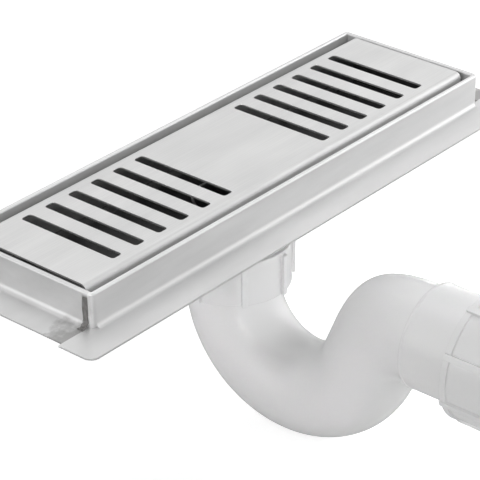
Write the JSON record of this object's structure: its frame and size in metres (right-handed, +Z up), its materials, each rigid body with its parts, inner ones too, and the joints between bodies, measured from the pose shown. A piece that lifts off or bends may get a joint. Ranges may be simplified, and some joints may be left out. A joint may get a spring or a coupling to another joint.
{
  "type": "linear shower drain",
  "caption": "Linear shower drain: a slotted stainless grate lying in a folded, flanged channel, over a white plastic bent trap with a compression-nut outlet.",
  "frame": {"origin": "middle of the grate's top, level with the channel's rim and the tiled floor", "axes": "+X along the channel, +Z up, the outlet leaves towards -Y"},
  "size_m": [0.3446, 0.249, 0.147],
  "materials": {
    "grate_steel": "long brushed",
    "channel_steel": "satin sheet, tinted at the welds",
    "tube_steel": "satin tube",
    "white_plastic": "glossy moulded",
    "slip_plastic": "plain moulded",
    "seal_rubber": "moulded"
  },
  "bodies": {
    "root": {"grate": "grate_steel", "channel": "channel_steel", "end_left": "channel_steel", "end_right": "channel_steel", "spigot": "tube_steel", "inlet_nut": "white_plastic", "inlet_slip_ring": "slip_plastic", "inlet_seal": "seal_rubber", "trap_body": "white_plastic", "outlet_collar": "white_plastic", "outlet_nut": "white_plastic", "outlet_slip_ring": "slip_plastic", "outlet_seal": "seal_rubber"}
  },
  "joints": []
}
